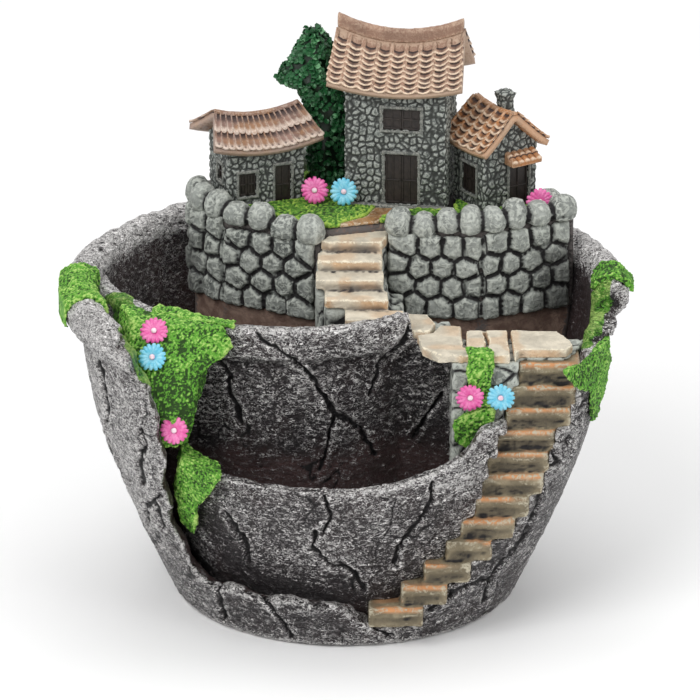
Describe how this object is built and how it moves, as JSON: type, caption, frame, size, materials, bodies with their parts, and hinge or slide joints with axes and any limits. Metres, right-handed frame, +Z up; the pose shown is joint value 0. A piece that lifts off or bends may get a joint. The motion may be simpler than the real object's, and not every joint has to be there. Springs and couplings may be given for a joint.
{
  "type": "succulent planter pot",
  "caption": "Round planter made as a cracked pot broken open at the front, with nested planting pockets, stone steps and a small village on a terrace",
  "frame": {"origin": "centre of the flat underside of the bowl, on the surface it stands on", "axes": "+Z up; -Y towards the viewer, where the bowl is broken open; +X to the viewer's right, the side of the lower steps"},
  "size_m": [0.1897, 0.1634, 0.1819],
  "materials": {
    "painted_clay": "charcoal casting resin, dry-brushed silver-white, satin",
    "painted_core": "flat brown paint on casting resin, matt",
    "painted_stone": "grey stone paint with dark joints, matt",
    "painted_flagstone": "cream stone paint with tan edges, matt",
    "painted_tread": "olive-brown stone paint with orange lips, matt",
    "painted_turf": "green flock paint, matt",
    "painted_earth": "earth-brown paint, matt",
    "painted_timber": "dark brown timber paint, satin",
    "painted_tile": "terracotta paint with pale highlights, satin",
    "painted_leaf": "dark green gloss paint with pale glints",
    "painted_moss": "bright green moss paint, matt",
    "pink_enamel": "pink enamel, satin",
    "blue_enamel": "sky blue enamel, satin",
    "pale_enamel": "pale enamel, satin"
  },
  "bodies": {
    "root": {"outer_bowl": "painted_clay", "upper_pot_wall": "painted_clay", "lower_pocket_wall": "painted_clay", "landing_block": "painted_stone", "landing_flagstones": "painted_flagstone", "lower_steps": "painted_tread", "upper_stair_block": "painted_stone", "upper_steps": "painted_flagstone", "terrace_slab": "painted_core", "terrace_back_wall": "painted_core", "retaining_wall_left": "painted_core", "retaining_wall_right": "painted_core", "rubble_stones_left": "painted_stone", "rubble_stones_right": "painted_stone", "cap_stones_left": "painted_stone", "cap_stones_right": "painted_stone", "cap_stones_back": "painted_stone", "terrace_turf": "painted_turf", "terrace_path": "painted_earth", "main_house_walls": "painted_stone", "main_house_plinth": "painted_stone", "main_house_door": "painted_timber", "main_house_window": "painted_timber", "main_house_lintels": "painted_stone", "main_house_roof": "painted_tile", "main_house_ridge": "painted_tile", "left_house_walls": "painted_stone", "left_house_door": "painted_timber", "left_house_windows": "painted_timber", "left_house_roof": "painted_tile", "left_house_ridge": "painted_tile", "right_house_walls": "painted_stone", "right_house_door": "painted_timber", "right_house_window": "painted_timber", "right_house_roof": "painted_tile", "right_house_ridge": "painted_tile", "right_house_porch_roof": "painted_tile", "right_house_chimney": "painted_stone", "tree": "painted_leaf", "moss_left_rim": "painted_moss", "moss_left_bank": "painted_moss", "moss_left_tail": "painted_moss", "moss_right_rim": "painted_moss", "moss_right_tail": "painted_moss", "moss_landing": "painted_moss", "pink_daisies": "pink_enamel", "blue_daisies": "blue_enamel", "daisy_hearts": "pale_enamel"}
  },
  "joints": []
}
